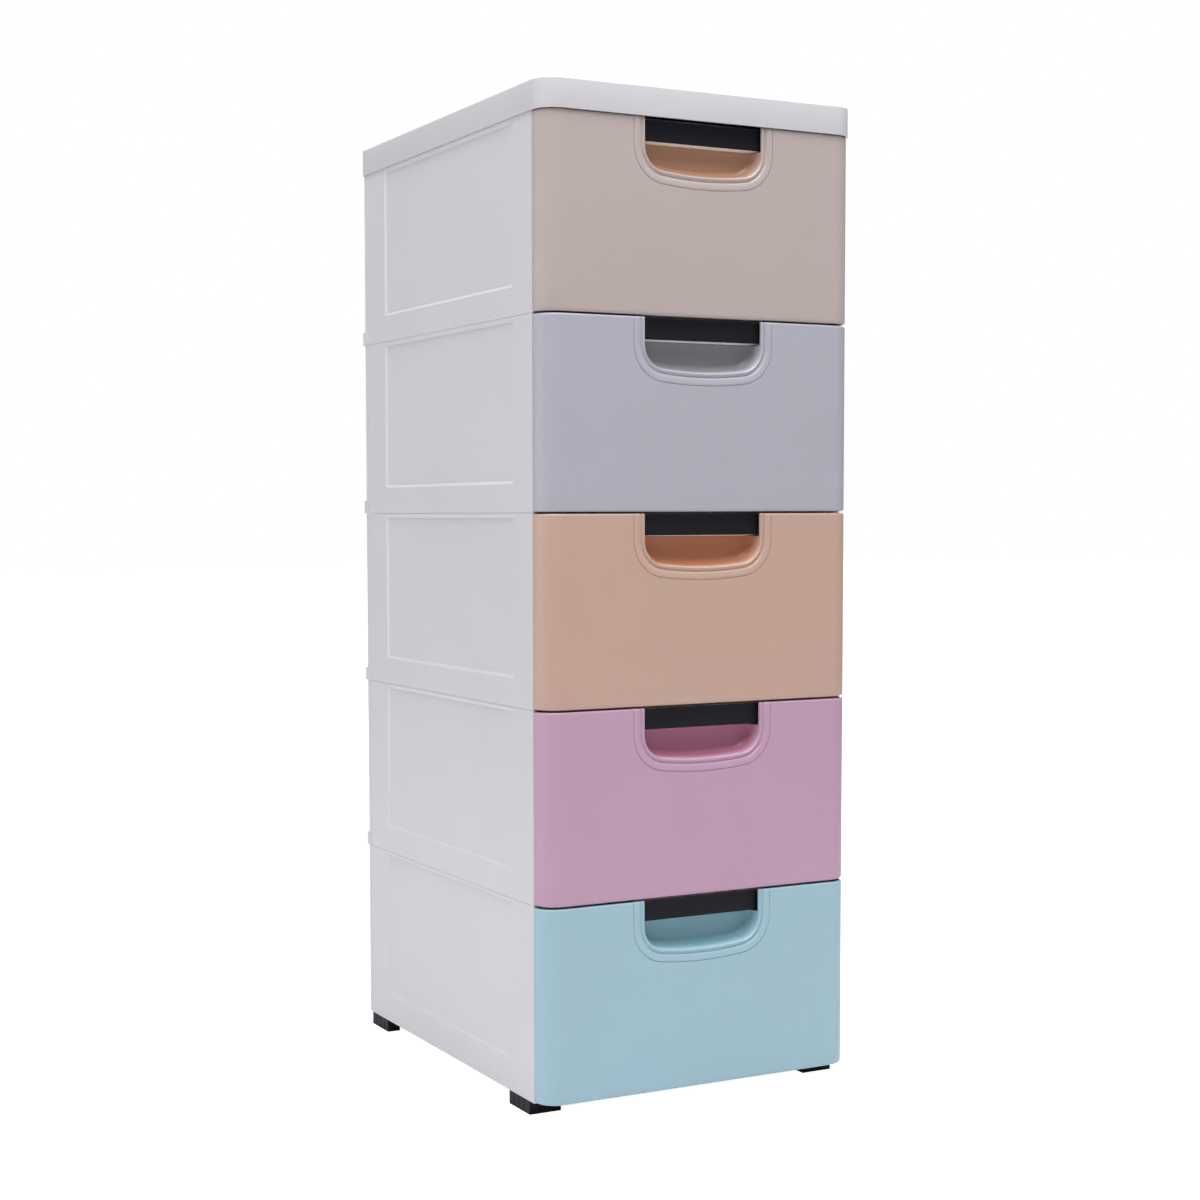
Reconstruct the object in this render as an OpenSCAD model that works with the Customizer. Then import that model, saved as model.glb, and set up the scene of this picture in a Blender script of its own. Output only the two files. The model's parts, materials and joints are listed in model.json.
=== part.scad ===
// Five-tier plastic drawer tower: a white panel frame that carries five pull-out drawers.
// Drawer 1 is the top one. X is across, Y runs from the front to the back, Z is up.

/* [Body] */
// Width over the side panels
body_w = 370; // [320:1:440]
// Depth from the face of the drawers to the back
body_d = 460; // [400:1:540]
// Height of one tier
tier_h = 197.4; // [160:0.1:260]
// Extra height of the lowest tier below its shelf
skirt_h = 3.9; // [0:0.1:8]
// Radius of the rounded front corners
corner_r = 22; // [16:0.5:22.5]
// Clearance between pieces that fit together
fit_gap = 0.3; // [0.2:0.05:0.5]

/* [Drawer fronts] */
// Wall thickness of a drawer front
front_t = 3; // [2:0.1:4]
// How far a drawer front wraps back round the side
front_return = 23; // [23:0.5:26]
// Open gap between two drawer fronts
front_gap = 2; // [1.6:0.1:4]
// Rounding of the lower edge of a front
edge_r = 2.8; // [1:0.1:3]
// Rounding of the upper edge of a front
top_edge_r = 1.2; // [0.5:0.1:2.5]
// Reach of the lower lip behind the front
front_lip = 14; // [8:0.5:16]
// Radius of the posts that hold the front on its drawer box
post_r = 3; // [2:0.1:5]
// Length of those posts
post_len = 6; // [4:0.5:10]
// Distance of the posts from the sides of the drawer box
post_in = 36; // [20:1:60]
// Height of the lower posts above the foot of the tier
post_low = 36; // [20:1:60]
// Distance of the upper posts below the top of the tier
post_high = 56; // [36:1:70]

/* [Hand grips] */
// Half the width of the hand opening
grip_half = 69; // [50:0.5:90]
// Height of the hand opening, from the top of the tier
grip_drop = 52.5; // [46:0.5:70]
// Corner radius of the hand opening
grip_r = 24; // [16:0.5:28]
// Extra depth at the middle of its curved lower edge
grip_sag = 2.8; // [1:0.1:4]
// Distance from the opening to the outer groove
rim_w = 13.5; // [10:0.5:18]
// Width and depth of the outer groove
groove_w = 1; // [0.6:0.1:1.5]
// Width of the step round the opening
step_w = 6; // [3:0.5:8]
// Depth of the step round the opening
step_d = 1.2; // [0.5:0.1:1.6]
// Depth of the finger scoop behind the face
scoop_y = 17.7; // [15:0.1:20]
// Radius between the back and the floor of the scoop
scoop_r = 14; // [8:0.5:16]
// Wall of the scoop
scoop_t = 2.5; // [2:0.1:3.5]
// Depth of the black grip strip behind the face
strip_y = 7; // [5:0.1:8]
// Thickness of the black grip strip
strip_t = 1.5; // [1:0.1:2]
// Lower edge of the grip strip, from the top of the tier
strip_drop = 23.2; // [18:0.1:26]
// Upper edge of the grip strip, from the top of the tier
strip_top = 2; // [1.5:0.1:4]
// How far the strip runs past the opening at each end
strip_over = 5; // [2:0.5:6]
// Depth of the grip bar
bar_d = 11; // [8:0.1:14]
// Wall of the grip bar
bar_t = 2; // [1.5:0.1:2.5]
// Radius of the pegs at the ends of the grip bar
bar_peg_r = 2.5; // [1.5:0.1:3.5]

/* [Drawer boxes] */
// Space between a drawer box and the columns of the frame
box_gap = 4; // [3:0.1:10]
// Running gap beside the rim of a drawer box
rim_gap = 0.8; // [0.3:0.1:2]
// Clear space behind a drawer box
box_rear = 20; // [16:1:60]
// Wall of a drawer box
box_t = 2.2; // [1.6:0.1:3.2]
// Corner radius of a drawer box
box_r = 10; // [8:0.5:14]
// Height of the step from the tier's top to the box rim
box_drop = 24.7; // [24.5:0.1:30]
// Height of the rim
rim_t = 2.5; // [2:0.1:4]
// Height of the stop tabs above the rim
tab_h = 5; // [4:0.1:8]
// Thickness of the stop tabs
tab_t = 4; // [2.5:0.1:6]
// Width of the stop tabs
tab_w = 24; // [10:1:40]
// Distance of the stop tabs from the middle
tab_x = 100; // [80:1:130]
// Clearance left when a drawer reaches its stop
stop_gap = 1; // [0.5:0.1:2]

/* [Panels] */
// Thickness of a side or back panel
panel_t = 5; // [4.6:0.1:7]
// Depth of the recessed field in a panel
recess_d = 2; // [1:0.1:2.4]
// Width of the bevel round the field
bevel_w = 3; // [1:0.1:5]
// Margin of the field at the front edge of a side panel
field_front = 45; // [25:1:80]
// Margin of the field at the rear edge of a side panel
field_rear = 51; // [25:1:80]
// Margin of the field at the bottom of a panel
field_low = 31; // [15:1:50]
// Margin of the field at the top of a panel
field_top = 6; // [4:1:30]
// Width of the rear corner that belongs to the back panel
corner_w = 13; // [11:0.5:20]
// Outer lap that hides the edge of a shelf
panel_lap = 2.5; // [2:0.1:3.5]
// Visible joint between two tiers
seam = 0.3; // [0.2:0.1:1]
// Radius of the locating pegs
peg_r = 2.6; // [2:0.1:3.2]
// Reach of the pegs below a tier
peg_len = 8; // [6:0.5:12]
// Radius of the columns that carry the pegs
column_r = 4.5; // [4.2:0.1:5]
// Distance of the pegs from the outer face
peg_in = 5.5; // [5:0.1:6]
// Distance of the front pegs behind the front edge of a side panel
peg_front = 37; // [28:1:60]
// Distance of the rear pegs from the back
peg_rear = 35; // [25:1:60]
// Height of the rear corner lugs
lug_h = 15; // [8:0.5:25]
// How far the lugs stand out at the back
lug_out = 3; // [1:0.1:5]
// How far the lugs stand out at the side
lug_side = 1.5; // [0.5:0.1:1.5]

/* [Shelves] */
// Thickness of a shelf
shelf_t = 3; // [2:0.1:4]
// Height of the runners on a shelf
runner_h = 2.4; // [1.5:0.1:4]
// Depth of the flanges under a shelf
flange_h = 22.3; // [18:0.1:22.3]
// Thickness of the flanges
flange_t = 2.5; // [2:0.1:3]
// Setback of the shelves behind the front edge of the side panels
beam_in = 1.2; // [0:0.1:4]
// Depth of the hollow beam behind the drawer fronts
beam_d = 15.5; // [10:0.5:20]
// Distance of the stop rib behind the drawer fronts
stop_y = 95; // [60:1:140]
// Height of the ribs under the lowest shelf
base_rib_h = 6; // [3:0.5:9]
// Distance of the ribs under a shelf from the middle
rib_x = 61; // [30:1:80]
// Distance of the two nubs on the front edge of a shelf from the middle
nub_x = 122; // [110:1:140]
// Size of the nubs
nub_w = 3; // [2:0.5:4]

/* [Feet] */
// Height of a foot
foot_h = 14.2; // [10:0.1:25]
// Length of a foot along the side
foot_side = 46; // [36:1:80]
// Length of a foot along the front
foot_front = 36; // [24:1:60]
// Width of the arms of a foot
foot_arm = 16; // [14:0.5:20]
// Distance of a foot from the outer side faces
foot_in = 0; // [0:0.1:4]
// Setback of the front feet behind the drawer fronts
foot_back = 34; // [26:1:40]
// Distance of the rear feet from the back
foot_rear = 11.5; // [2:0.5:16]
// Spacing of the grooves in the outer faces
groove_step = 12; // [8:0.5:16]
// Width of those grooves
slot_w = 1.2; // [0.8:0.1:2]
// Depth of those grooves
slot_d = 0.8; // [0.4:0.1:1]

/* [Top cover] */
// Height of the top cover
cover_h = 30.5; // [20:0.5:50]
// Overhang of the top cover
cover_over = 1.5; // [1:0.1:1.5]
// Wall of the top cover
cover_t = 2.5; // [2:0.1:3.5]
// Rounding of its upper edge
cover_edge = 2.5; // [1:0.1:4]
// Depth of the ribs under the flat top
cover_rib_h = 14; // [4:0.5:16]
// Distance of those ribs from the front and the back
cover_rib_y = 150; // [90:1:190]
// Radius of the rear corners
rear_r = 5; // [3:0.5:8]

/* [Hidden] */
$fn = 64;
tiers = 5;
white = [0.81, 0.81, 0.84];
cream = [0.85, 0.81, 0.77];
black = [0.13, 0.13, 0.16];
paints = [[0.72, 0.67, 0.65], [0.66, 0.66, 0.70], [0.75, 0.63, 0.57], [0.74, 0.61, 0.70], [0.62, 0.74, 0.78]];
half_w = body_w / 2;
panel_front = front_return + fit_gap;
panel_back = body_d - corner_w - fit_gap;
under = 1; // how far a cutting shape runs past the face it cuts
scoop_low = grip_drop + grip_sag + scoop_t;
cheek_in = grip_half + strip_over + bar_t + fit_gap;
cheek_out = cheek_in + front_t;
bar_back = strip_y + strip_t + bar_d;
peg_y = [panel_front + peg_front, body_d - peg_rear];
beam_y = panel_front + beam_in;
shelf_half = half_w - panel_lap - fit_gap;
shelf_back = body_d - panel_lap - fit_gap;
column_x = half_w - peg_in - column_r;
flange_x = column_x - fit_gap;
box_half = column_x - box_gap;
rim_out = box_gap - rim_gap;
rear_flange_y = body_d - panel_t - fit_gap;
box_low = shelf_t + runner_h + fit_gap;
box_back = body_d - box_rear;
box_h = tier_h - box_drop - box_low;
foot_pad = peg_y[1] - column_r - (body_d - foot_rear - foot_side);
travel = box_back - tab_t - stop_y - stop_gap;
floor_top = foot_h + skirt_h + tiers * tier_h;
echo(drawer_travel = travel, total_height = floor_top + cover_h);

function tier_z(k) = foot_h + skirt_h + (tiers - k) * tier_h;

// How far the walls of a tier reach below its shelf
function skirt(k) = k == tiers ? skirt_h : 0;

// The frame's origin is at the middle of the floor area
module place() {
    translate([0, -(body_d + lug_out - cover_over) / 2, 0]) children();
}

// A flat shape drawn as X and Z, extruded from y1 to y2
module along_y(y1, y2) {
    translate([0, y2, 0]) rotate([90, 0, 0]) linear_extrude(y2 - y1) children();
}

// A flat shape drawn as Y and Z, extruded from x1 to x2
module along_x(x1, x2) {
    translate([x1, 0, 0]) rotate([90, 0, 90]) linear_extrude(x2 - x1) children();
}

// The left piece, or the same piece on the right
module sided(side) {
    mirror([side > 0 ? 1 : 0, 0, 0]) children();
}

module both_sides() {
    for (side = [-1, 1]) sided(side) children();
}

// Plan outline: front corners of radius rf, rear corners of radius rb
module plan(half, y1, y2, rf, rb) {
    translate([-half, y1 + rf]) square([2 * half, y2 - y1 - rf - rb]);
    translate([-half + rf, y1]) square([2 * (half - rf), rf + 1]);
    translate([-half + rb, y2 - rb - 1]) square([2 * (half - rb), rb + 1]);
    for (side = [-1, 1]) {
        translate([side * (half - rf), y1 + rf]) circle(rf);
        translate([side * (half - rb), y2 - rb]) circle(rb);
    }
}

// A wall profile (inward, up) swept along the front and round both front corners
module front_sweep(half, r, back) {
    along_x(-half + r, half - r) children();
    both_sides() {
        translate([-half + r, r, 0]) rotate([0, 0, 180])
            rotate_extrude(angle = 90) translate([r, 0]) mirror([1, 0]) children();
        if (back > r)
            translate([-half, 0, 0]) along_y(r, back) children();
    }
}

// U-shaped outline of the hand opening, grown outwards by grow; Z = 0 is the top of the tier
module grip_shape(grow) {
    half = grip_half + grow;
    r = grip_r + grow;
    drop = grip_drop + grow;
    flat = half - r;
    rise = (pow(flat, 2) + pow(grip_sag, 2)) / (2 * grip_sag);
    sag_r = rise + r;
    tangent_x = flat * sag_r / rise;
    translate([-half, r - drop]) square([2 * half, drop - r + under]);
    translate([-flat, -drop]) square([2 * flat, drop]);
    for (side = [-1, 1]) translate([side * flat, r - drop]) circle(r);
    // shallow arc that meets both corners smoothly
    intersection() {
        translate([0, rise + r - drop - grip_sag]) circle(sag_r, $fn = 180);
        translate([-tangent_x, -drop - 2 * grip_sag]) square([2 * tangent_x, 3 * grip_sag]);
    }
}

// ---- drawers ----

// Section of the front wall: rounded outer edges and a lip at the foot
module front_profile(h) {
    intersection() {
        union() {
            translate([0, edge_r]) square([front_t, h - edge_r - top_edge_r]);
            translate([edge_r, 0]) square([front_t, edge_r]);
            translate([edge_r, edge_r]) circle(edge_r);
            translate([top_edge_r, h - top_edge_r]) square([front_t, top_edge_r]);
            translate([top_edge_r, h - top_edge_r]) circle(top_edge_r);
        }
        square([front_t, h]);
    }
    translate([edge_r, 0]) square([front_lip - edge_r, front_t]);
}

// The hollow that the fingers reach into
module scoop_hollow() {
    intersection() {
        along_y(-under, scoop_y) grip_shape(0);
        along_x(-half_w, half_w) {
            translate([-under, -strip_drop]) square([scoop_y + under, strip_drop + under]);
            translate([-under, -grip_drop - grip_sag])
                square([scoop_y + under - scoop_r, grip_drop + grip_sag]);
            translate([-under, scoop_r - grip_drop - grip_sag])
                square([scoop_y + under, grip_drop + grip_sag - scoop_r]);
            translate([scoop_y - scoop_r, scoop_r - grip_drop - grip_sag]) circle(scoop_r);
        }
    }
}

module drawer_front(k) {
    z0 = tier_z(k);
    // the first front reaches up to the cover
    above = k == 1 ? fit_gap - seam / 2 : front_gap / 2;
    low = front_gap / 2 - tier_h - skirt(k);
    color(paints[k - 1]) translate([0, 0, z0 + tier_h]) difference() {
        union() {
            translate([0, 0, low])
                front_sweep(half_w, corner_r, front_return) front_profile(-above - low);
            // block that holds the scoop, with a cheek at each end of the grip bar
            translate([-cheek_out, front_t - under, -scoop_low])
                cube([2 * cheek_out, scoop_y + scoop_t - front_t + under, scoop_low - box_drop]);
            both_sides() translate([-cheek_out, front_t - under, -scoop_low])
                cube([front_t, bar_back - front_t + under, scoop_low - strip_top]);
            for (x = [-1, 1], z = [post_low - tier_h, -post_high])
                translate([x * (box_half - post_in), front_t - under, z])
                    rotate([-90, 0, 0]) cylinder(r = post_r, h = post_len + under);
        }
        scoop_hollow();
        // step and groove round the opening
        along_y(-under, step_d) grip_shape(step_w);
        along_y(-under, groove_w) difference() {
            grip_shape(rim_w);
            grip_shape(rim_w - groove_w);
        }
        both_sides() translate([-cheek_out - under, (strip_y + strip_t + bar_back) / 2, -strip_drop / 2])
            rotate([0, 90, 0]) cylinder(r = bar_peg_r + fit_gap, h = front_t + 2 * under);
    }
}

// Hollow box of the drawer, open at the top, with an outer rim and two stop tabs
module drawer_box(k) {
    y1 = front_t + fit_gap;
    color(paints[k - 1]) translate([0, 0, tier_z(k) + box_low]) difference() {
        union() {
            linear_extrude(box_h) plan(box_half, y1, box_back, box_r, box_r);
            translate([0, 0, box_h - rim_t]) linear_extrude(rim_t)
                plan(box_half + rim_out, y1 + box_rear, box_back + rim_out, box_r, box_r);
            for (x = [-1, 1])
                translate([x * tab_x - tab_w / 2, box_back - tab_t, box_h - rim_t])
                    cube([tab_w, tab_t, rim_t + tab_h]);
        }
        translate([0, 0, box_t]) linear_extrude(box_h)
            plan(box_half - box_t, y1 + box_t, box_back - box_t, box_r - box_t, box_r - box_t);
        // cut-out for the finger scoop
        translate([-cheek_out - fit_gap, y1 - under, tier_h - box_low - scoop_low - fit_gap])
            cube([2 * (cheek_out + fit_gap), box_t + 2 * under, scoop_low]);
        for (x = [-1, 1], z = [post_low, tier_h - post_high])
            translate([x * (box_half - post_in), y1 - under, z - box_low])
                rotate([-90, 0, 0]) cylinder(r = post_r + fit_gap, h = box_t + 2 * under);
    }
}

// Channel across the top of the opening, pegged into the cheeks of the front
module grip_bar(k) {
    y1 = strip_y + strip_t;
    low = box_drop - fit_gap;
    half = cheek_in - fit_gap;
    color(cream) translate([0, 0, tier_z(k) + tier_h]) {
        difference() {
            along_x(-half, half)
                polygon([[y1, -strip_top], [y1, -strip_drop], [bar_back, -low], [bar_back, -strip_top]]);
            along_x(bar_t - half, half - bar_t)
                polygon([[y1 + bar_t, under], [y1 + bar_t, bar_t - strip_drop],
                         [bar_back - bar_t, bar_t - low], [bar_back - bar_t, under]]);
        }
        both_sides() translate([-half - front_t, (y1 + bar_back) / 2, -strip_drop / 2])
            rotate([0, 90, 0]) cylinder(r = bar_peg_r, h = front_t + bar_t);
    }
}

module grip_strip(k) {
    half = grip_half + strip_over;
    h = strip_drop - strip_top;
    r = 2.5; // rounded ends of the strip
    color(black) translate([0, 0, tier_z(k) + tier_h - strip_drop]) along_y(strip_y, strip_y + strip_t) {
        translate([-half, r]) square([2 * half, h - 2 * r]);
        translate([-half + r, 0]) square([2 * (half - r), h]);
        for (x = [-1, 1], z = [r, h - r]) translate([x * (half - r), z]) circle(r);
    }
}

// ---- frame ----

// Bevelled field pressed into a panel; u runs along the panel, the outer face is at X = 0
module field(u1, u2, z1, z2) {
    hull() {
        translate([-under, u1 - bevel_w / 2, z1 - bevel_w / 2])
            cube([under, u2 - u1 + bevel_w, z2 - z1 + bevel_w]);
        translate([0, u1 + bevel_w / 2, z1 + bevel_w / 2])
            cube([recess_d, u2 - u1 - bevel_w, z2 - z1 - bevel_w]);
    }
}

module side_panel(k, side) {
    z0 = tier_z(k);
    low = -skirt(k);
    length = panel_back - panel_front;
    tongue_y = panel_back - corner_w / 2;
    tongue_h = tier_h - seam / 2 - shelf_t - fit_gap;
    color(white) sided(side) translate([-half_w, 0, z0]) difference() {
        union() {
            translate([0, panel_front, low + seam / 2]) cube([panel_t, length, tier_h - seam - low]);
            // inner tongue that reaches behind the rear corner
            translate([panel_t - under, tongue_y, shelf_t + fit_gap])
                cube([under + fit_gap + flange_t, panel_back - tongue_y, tongue_h]);
            translate([panel_t + fit_gap, tongue_y, shelf_t + fit_gap])
                cube([flange_t, corner_w, tongue_h]);
            // columns with a peg below and a socket above
            for (y = peg_y) {
                translate([peg_in, y, shelf_t + fit_gap])
                    cylinder(r = column_r, h = tier_h - shelf_t - fit_gap - seam / 2);
                translate([peg_in, y, low - peg_len])
                    cylinder(r = peg_r, h = peg_len + shelf_t + under - low);
            }
        }
        field(panel_front + field_front, panel_back - field_rear, field_low, tier_h - field_top);
        // rebate that laps over the edge of the shelf
        difference() {
            translate([panel_lap, panel_front - under, low - under])
                cube([panel_t, length + 2 * under, under + shelf_t + fit_gap - low]);
            for (y = peg_y) translate([peg_in, y, low - 2 * under])
                cylinder(r = peg_r, h = 3 * under + shelf_t - low);
        }
        // open ends above the columns' sockets
        for (y = peg_y) translate([peg_in, y, tier_h - peg_len - 1])
            cylinder(r = peg_r + fit_gap, h = peg_len + 2);
    }
}

// Back panel with the two rear corners and their lugs
module back_panel(k) {
    low = -skirt(k);
    color(white) translate([0, 0, tier_z(k)]) difference() {
        union() {
            translate([0, 0, low + seam / 2]) linear_extrude(tier_h - seam - low)
                plan(half_w, body_d - corner_w, body_d, 0.01, rear_r);
            if (k < tiers) translate([0, 0, seam / 2]) linear_extrude(lug_h)
                plan(half_w + lug_side, body_d - corner_w + 3, body_d + lug_out, 0.01, rear_r);
        }
        translate([panel_t - half_w, 0, low - under])
            cube([body_w - 2 * panel_t, body_d - panel_t, tier_h + 2 * under - low]);
        // the lugs stay at the corners
        translate([-half_w + 3 * corner_w, body_d, -under])
            cube([body_w - 6 * corner_w, lug_out + under, lug_h + 2 * under]);
        translate([0, body_d, 0]) rotate([0, 0, -90])
            field(-half_w + 4 * corner_w, half_w - 4 * corner_w, field_low, tier_h - field_top);
        // rebate that laps over the edge of the shelf
        translate([panel_lap - half_w, body_d - corner_w - under, low - under])
            cube([body_w - 2 * panel_lap, corner_w + under - panel_lap, under + shelf_t + fit_gap - low]);
    }
}

// Shelf plate with its runners and the holes for the pegs
module shelf_plate() {
    difference() {
        union() {
            translate([-shelf_half, beam_y, 0]) cube([2 * shelf_half, shelf_back - beam_y, shelf_t]);
            both_sides() translate([-box_half + box_r, beam_y, 0])
                cube([box_r, box_back - beam_y, shelf_t + runner_h]);
            both_sides() translate([-nub_x - nub_w / 2, beam_y, 0]) cube([nub_w, nub_w, shelf_t + runner_h]);
        }
        both_sides() for (y = peg_y) translate([peg_in - half_w, y, -under])
            cylinder(r = peg_r + fit_gap, h = shelf_t + 2 * under);
    }
}

// Shelf with a hollow beam at the front, flanges all round and a stop rib
module shelf(k) {
    top = -flange_h;
    color(white) translate([0, 0, tier_z(k)]) {
        shelf_plate();
        for (y = [beam_y, beam_y + beam_d - flange_t, stop_y - flange_t, rear_flange_y - flange_t])
            translate([-flange_x, y, top]) cube([2 * flange_x, flange_t, flange_h + under]);
        both_sides() {
            translate([-flange_x, beam_y, top]) cube([flange_t, rear_flange_y - beam_y, flange_h + under]);
            translate([-rib_x, stop_y - under, -flange_h / 2])
                cube([flange_t, rear_flange_y - stop_y, flange_h / 2 + under]);
        }
    }
}

module base_frame() {
    inner_x = half_w - foot_in - foot_front - groove_step;
    y1 = foot_back + foot_side + groove_step;
    y2 = body_d - foot_rear - foot_side - groove_step;
    color(white) translate([0, 0, tier_z(tiers)]) {
        shelf_plate();
        for (x = [-inner_x, -rib_x, rib_x - flange_t, inner_x - flange_t])
            translate([x, y1, -base_rib_h]) cube([flange_t, y2 - y1, base_rib_h + under]);
        for (y = [y1, y2 - flange_t])
            translate([-inner_x, y, -base_rib_h]) cube([2 * inner_x, flange_t, base_rib_h + under]);
        // pads that rest on the feet beside their sockets
        both_sides() {
            translate([-shelf_half, foot_back, -skirt_h])
                cube([foot_arm - panel_lap - fit_gap, peg_y[0] - column_r - foot_back, skirt_h + under]);
            translate([-shelf_half, body_d - foot_rear - foot_side, -skirt_h])
                cube([foot_arm - panel_lap - fit_gap, foot_pad, skirt_h + under]);
        }
    }
}

// L-shaped corner foot with grooves in its outer faces and a socket for the peg
module foot(side, rear) {
    y1 = rear ? body_d - foot_rear : foot_back;
    outer = foot_in - half_w;
    peg = rear ? peg_y[1] : peg_y[0];
    flip = rear ? 1 : 0;
    color(black) sided(side) difference() {
        translate([outer, y1, 0]) mirror([0, flip, 0]) difference() {
            union() {
                cube([foot_arm, foot_side, foot_h]);
                cube([foot_front, foot_arm, foot_h]);
                translate([foot_arm, foot_arm, 0]) cube([groove_step / 2, groove_step / 2, foot_h]);
            }
            translate([foot_arm + groove_step / 2, foot_arm + groove_step / 2, -under])
                cylinder(r = groove_step / 2, h = foot_h + 2 * under);
            for (y = [groove_step : groove_step : foot_side - 1])
                translate([-under, y, -under]) cube([under + slot_d, slot_w, foot_h + 2 * under]);
            for (x = [groove_step : groove_step : foot_front - 1])
                translate([x, -under, -under]) cube([slot_w, under + slot_d, foot_h + 2 * under]);
        }
        translate([peg_in - half_w, peg, foot_h - peg_len - 1])
            cylinder(r = peg_r + fit_gap, h = peg_len + 2);
    }
}

// Cover section: rounded upper edge, skirt and the start of the flat top
module cover_profile() {
    intersection() {
        union() {
            square([cover_t, cover_h - cover_edge]);
            translate([cover_edge, cover_h - cover_edge]) circle(cover_edge);
        }
        square([cover_t + cover_edge, cover_h]);
    }
    translate([cover_edge, cover_h - cover_t]) square([rear_r - cover_edge, cover_t]);
}

module top_cover() {
    half = half_w + cover_over;
    length = body_d + 2 * cover_over;
    rf = corner_r + cover_over;
    rb = rear_r + cover_over;
    color(white) translate([0, 0, floor_top + seam / 2]) {
        translate([0, -cover_over, 0]) front_sweep(half, rf, length / 2) cover_profile();
        translate([0, body_d + cover_over, 0]) mirror([0, 1, 0])
            front_sweep(half, rb, length / 2) cover_profile();
        translate([0, 0, cover_h - cover_t]) linear_extrude(cover_t)
            plan(half - cover_edge, cover_edge - cover_over, body_d + cover_over - cover_edge,
                rf - cover_edge, rb - cover_edge);
        // posts that reach down into the top tier
        both_sides() for (y = peg_y) {
            translate([peg_in - half_w, y, shelf_t + fit_gap])
                cylinder(r = column_r, h = cover_h - shelf_t - fit_gap - cover_t / 2);
            translate([peg_in - half_w, y, -peg_len])
                cylinder(r = peg_r, h = peg_len + cover_h - cover_t / 2);
        }
        // ribs under the flat top
        for (y = [cover_rib_y, body_d - cover_rib_y])
            translate([-half_w, y, cover_h - cover_rib_h])
                cube([body_w, cover_t, cover_rib_h - cover_t / 2]);
    }
}

place() top_cover();
place() shelf(0);  // top_frame
for (k = [1 : tiers]) {
    place() side_panel(k, -1);
    place() side_panel(k, 1);
    place() back_panel(k);
    place() drawer_front(k);
    place() drawer_box(k);
    place() grip_bar(k);
    place() grip_strip(k);
}
for (k = [1 : tiers - 1])
    place() shelf(k);
place() base_frame();
place() foot(-1, false);  // foot_front_left
place() foot(1, false);  // foot_front_right
place() foot(-1, true);  // foot_rear_left
place() foot(1, true);  // foot_rear_right
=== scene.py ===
import json
import math
import bmesh
import bpy
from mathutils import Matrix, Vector

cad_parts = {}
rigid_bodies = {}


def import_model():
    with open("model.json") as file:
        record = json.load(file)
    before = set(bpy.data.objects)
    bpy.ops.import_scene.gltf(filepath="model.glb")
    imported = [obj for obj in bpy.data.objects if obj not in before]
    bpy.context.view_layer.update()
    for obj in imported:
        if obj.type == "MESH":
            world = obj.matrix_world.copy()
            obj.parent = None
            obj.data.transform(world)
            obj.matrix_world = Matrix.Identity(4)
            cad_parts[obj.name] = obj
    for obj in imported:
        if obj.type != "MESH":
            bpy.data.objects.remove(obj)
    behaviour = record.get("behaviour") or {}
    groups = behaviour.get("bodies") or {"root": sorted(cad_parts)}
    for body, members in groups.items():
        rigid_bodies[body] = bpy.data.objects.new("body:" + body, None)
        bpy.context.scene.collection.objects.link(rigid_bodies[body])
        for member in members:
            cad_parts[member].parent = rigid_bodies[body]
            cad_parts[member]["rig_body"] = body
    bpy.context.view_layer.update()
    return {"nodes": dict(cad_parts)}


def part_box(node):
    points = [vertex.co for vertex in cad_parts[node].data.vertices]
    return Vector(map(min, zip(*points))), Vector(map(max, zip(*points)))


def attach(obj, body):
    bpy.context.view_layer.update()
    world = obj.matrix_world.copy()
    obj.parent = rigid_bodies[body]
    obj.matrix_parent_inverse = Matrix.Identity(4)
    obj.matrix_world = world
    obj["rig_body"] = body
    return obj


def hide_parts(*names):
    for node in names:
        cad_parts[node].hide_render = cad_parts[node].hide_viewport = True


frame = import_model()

# Plastic drawer tower: white panels and cover, five coloured drawers, black feet.
# Lengths are in millimetres: X from the middle, Y back from the face of the drawers,
# Z from a level that each function is given.
mm = 0.001
drawers = [1, 2, 3, 4, 5]
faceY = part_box("drawer_front_1")[0].y
seamGap = 0.15  # from the top of a side panel to the top of its tier
intoPart = 1.0  # how far the parts of one piece run into each other
pastFace = 5.0  # how far a cutter runs past the face it opens
flushGap = 0.02  # between faces of one piece that would else be flush
weldReach = 0.01  # corners of a plain part closer than this become one
treeReach = 0.002  # the same inside a node tree
scene = bpy.context.scene


def tierTop(k):
    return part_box(f"left_panel_{k}")[1].z + seamGap * mm


def tierHeight():
    return (tierTop(1) - tierTop(2)) / mm


def place(point, level):
    # from millimetres to the frame in metres
    return Vector((point[0] * mm, faceY + point[1] * mm, level + point[2] * mm))


# camera and lamps: places and sizes in metres, turns in degrees
shot = {
    "place": (-1.0915, -1.9845, 0.6096),
    "turn": (86.63, 0.18, -26.69),
    "lens": 60.172,
    "shift": (0.0659, 0.0265),
}


def makeCamera():
    data = bpy.data.cameras.new("camera")
    data.lens = shot["lens"]
    data.sensor_width = 36
    data.shift_x, data.shift_y = shot["shift"]
    camera = bpy.data.objects.new("camera", data)
    camera.location = shot["place"]
    camera.rotation_euler = [math.radians(angle) for angle in shot["turn"]]
    scene.collection.objects.link(camera)
    scene.camera = camera


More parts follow.
